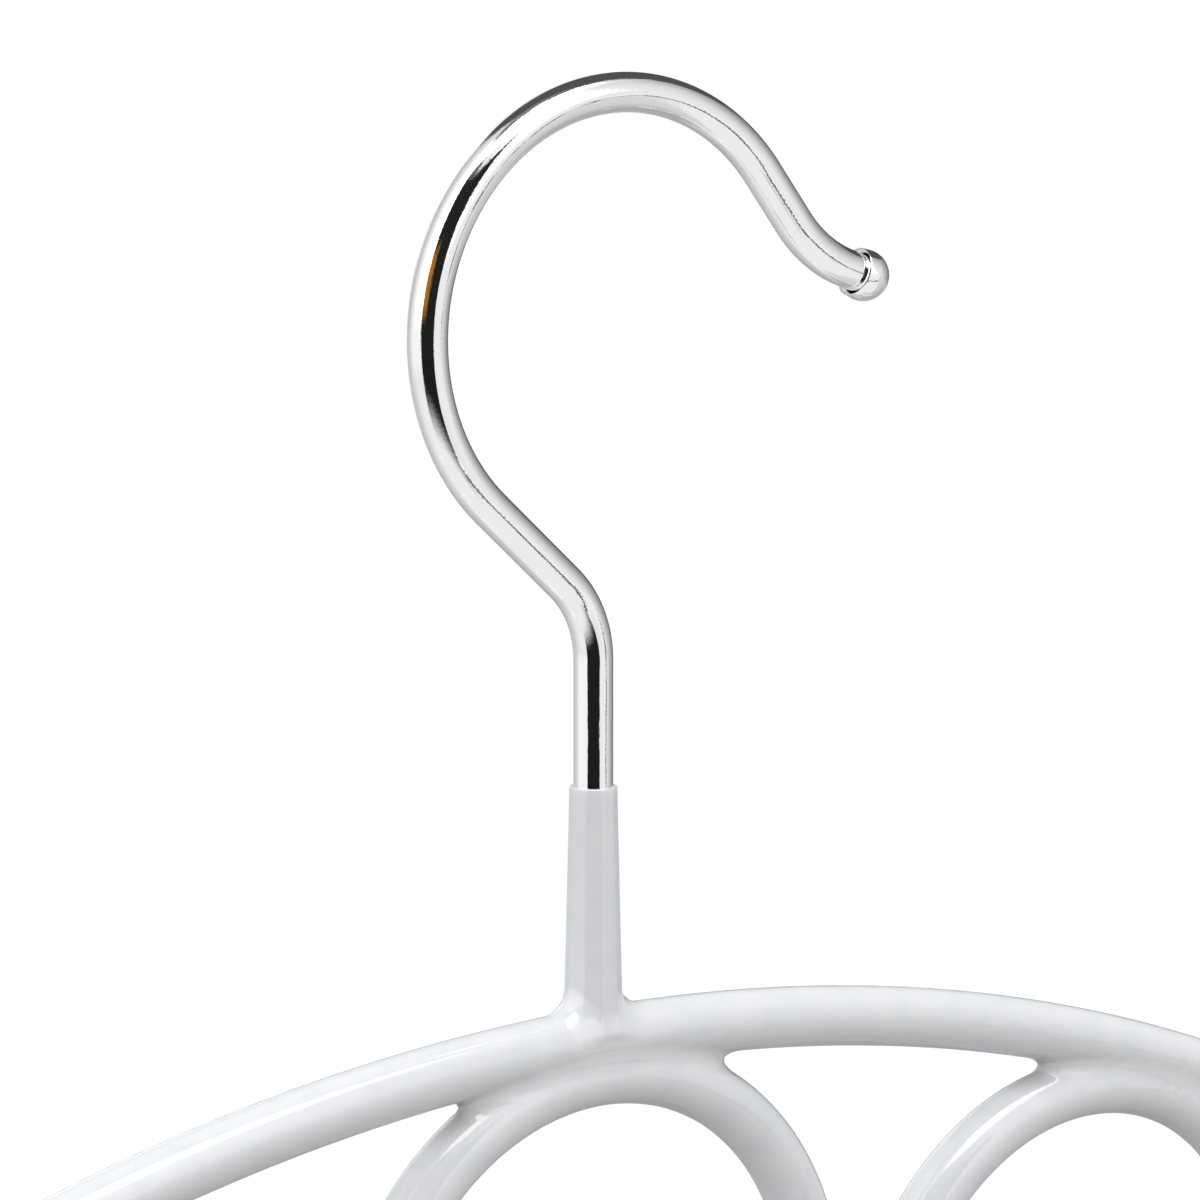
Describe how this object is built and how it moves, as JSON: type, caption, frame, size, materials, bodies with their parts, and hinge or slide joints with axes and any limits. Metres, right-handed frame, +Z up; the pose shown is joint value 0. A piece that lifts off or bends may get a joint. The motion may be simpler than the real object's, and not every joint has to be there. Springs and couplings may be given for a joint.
{
  "type": "scarf hanger",
  "caption": "Scarf hanger: a fan of coated wire rings welded in rows below curved arches, hung from a swivelling chrome wire hook with a domed tip.",
  "frame": {"origin": "on the swivel axis, at the inside of the hook's loop where it rests on the rail", "axes": "+Z up along the swivel axis, +X across the fan towards the side the hook opens to, +Y through its thickness away from the viewer"},
  "size_m": [0.384, 0.006, 0.3097],
  "materials": {
    "hook_chrome": "bright nickel-chrome plate on drawn wire",
    "cap_chrome": "bright nickel-chrome plate on a pressed cap",
    "neck_plastic": "white moulded plastic, smooth",
    "dip_coat": "white dipped coat, glossy",
    "frame_steel": "drawn steel wire, bare under the coat"
  },
  "bodies": {
    "hook": {"hook": "hook_chrome", "hook_cap": "cap_chrome"},
    "frame": {"neck": "neck_plastic", "coat": "dip_coat", "outer_arch": "frame_steel", "middle_arch": "frame_steel", "inner_arch": "frame_steel", "outer_ring_1": "frame_steel", "outer_ring_2": "frame_steel", "outer_ring_3": "frame_steel", "outer_ring_4": "frame_steel", "outer_ring_5": "frame_steel", "outer_ring_6": "frame_steel", "outer_ring_7": "frame_steel", "middle_ring_1": "frame_steel", "middle_ring_2": "frame_steel", "middle_ring_3": "frame_steel", "middle_ring_4": "frame_steel", "middle_ring_5": "frame_steel", "inner_ring_1": "frame_steel", "inner_ring_2": "frame_steel", "inner_ring_3": "frame_steel"}
  },
  "joints": [
    {"name": "hook_swivel", "type": "hinge", "parent": "hook", "child": "frame", "pos_m": [0, 0, -0.08239], "axis": [0, 0, 1], "continuous": true}
  ]
}
